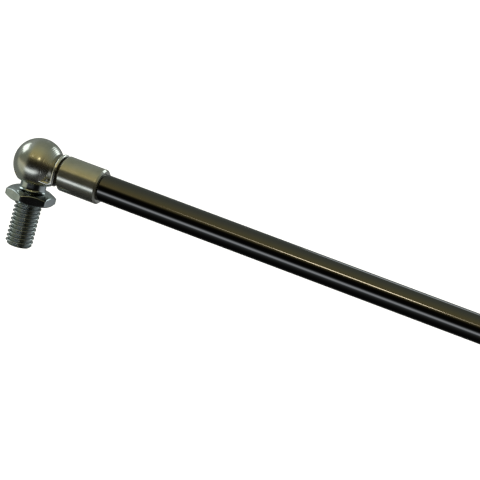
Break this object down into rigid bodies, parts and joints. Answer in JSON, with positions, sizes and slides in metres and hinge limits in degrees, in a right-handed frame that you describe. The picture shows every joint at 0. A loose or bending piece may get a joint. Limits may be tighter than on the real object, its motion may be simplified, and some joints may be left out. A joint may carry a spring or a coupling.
{
  "type": "gas strut stay",
  "caption": "Gas spring stay: black piston rod in a black pressure tube, with a zinc-plated right-angle ball joint on a threaded stud at each end.",
  "frame": {"origin": "centre of the seating face of the rod-end ball stud, where its thread begins", "axes": "+X along the strut from the rod end to the tube end, +Z from the seating face up to the ball, so both threads point along -Z"},
  "size_m": [0.4139, 0.018, 0.0338],
  "materials": {
    "stud_zinc": "zinc plated, satin",
    "socket_zinc": "zinc plated, turned, semi-bright",
    "spring_wire": "zinc plated spring wire, bright",
    "rod_black": "black nitrided and ground steel, glossy",
    "tube_paint": "black powder paint on steel, satin",
    "inner_steel": "turned steel",
    "plug_steel": "turned and zinc plated steel",
    "bush_bronze": "plain bearing bronze",
    "ring_plastic": "filled PTFE",
    "seal_rubber": "nitrile rubber"
  },
  "bodies": {
    "rod_stud": {"rod_end_stud": "stud_zinc"},
    "rod": {"rod_end_socket": "socket_zinc", "rod_end_clip": "spring_wire", "piston_rod": "rod_black", "stop_washer": "inner_steel", "piston": "inner_steel", "valve_disc": "inner_steel", "rivet_washer": "inner_steel"},
    "ring": {"piston_ring": "ring_plastic"},
    "tube": {"pressure_tube": "tube_paint", "dust_wiper": "seal_rubber", "rod_guide": "inner_steel", "guide_bush": "bush_bronze", "rod_seal": "seal_rubber", "seal_backing_ring": "inner_steel", "base_plug": "plug_steel", "base_plug_o_ring": "seal_rubber", "tube_end_socket": "socket_zinc", "tube_end_clip": "spring_wire"},
    "tube_stud": {"tube_end_stud": "stud_zinc"}
  },
  "joints": [
    {"name": "rod_end_ball_turn", "type": "hinge", "parent": "rod_stud", "child": "rod", "pos_m": [0, 0, 0.01131], "axis": [0, 0, 1], "continuous": true},
    {"name": "rod_spin", "type": "hinge", "parent": "rod", "child": "ring", "pos_m": [0, 0, 0.01131], "axis": [1, 0, 0], "continuous": true},
    {"name": "stroke", "type": "slide", "parent": "ring", "child": "tube", "axis": [1, 0, 0], "range_m": [-0.15, 0], "stiffness_N_per_m": 300, "springref_m": 0.5},
    {"name": "tube_end_ball_turn", "type": "hinge", "parent": "tube", "child": "tube_stud", "pos_m": [0.39908, 0, 0.01131], "axis": [0, 0, 1], "continuous": true}
  ]
}
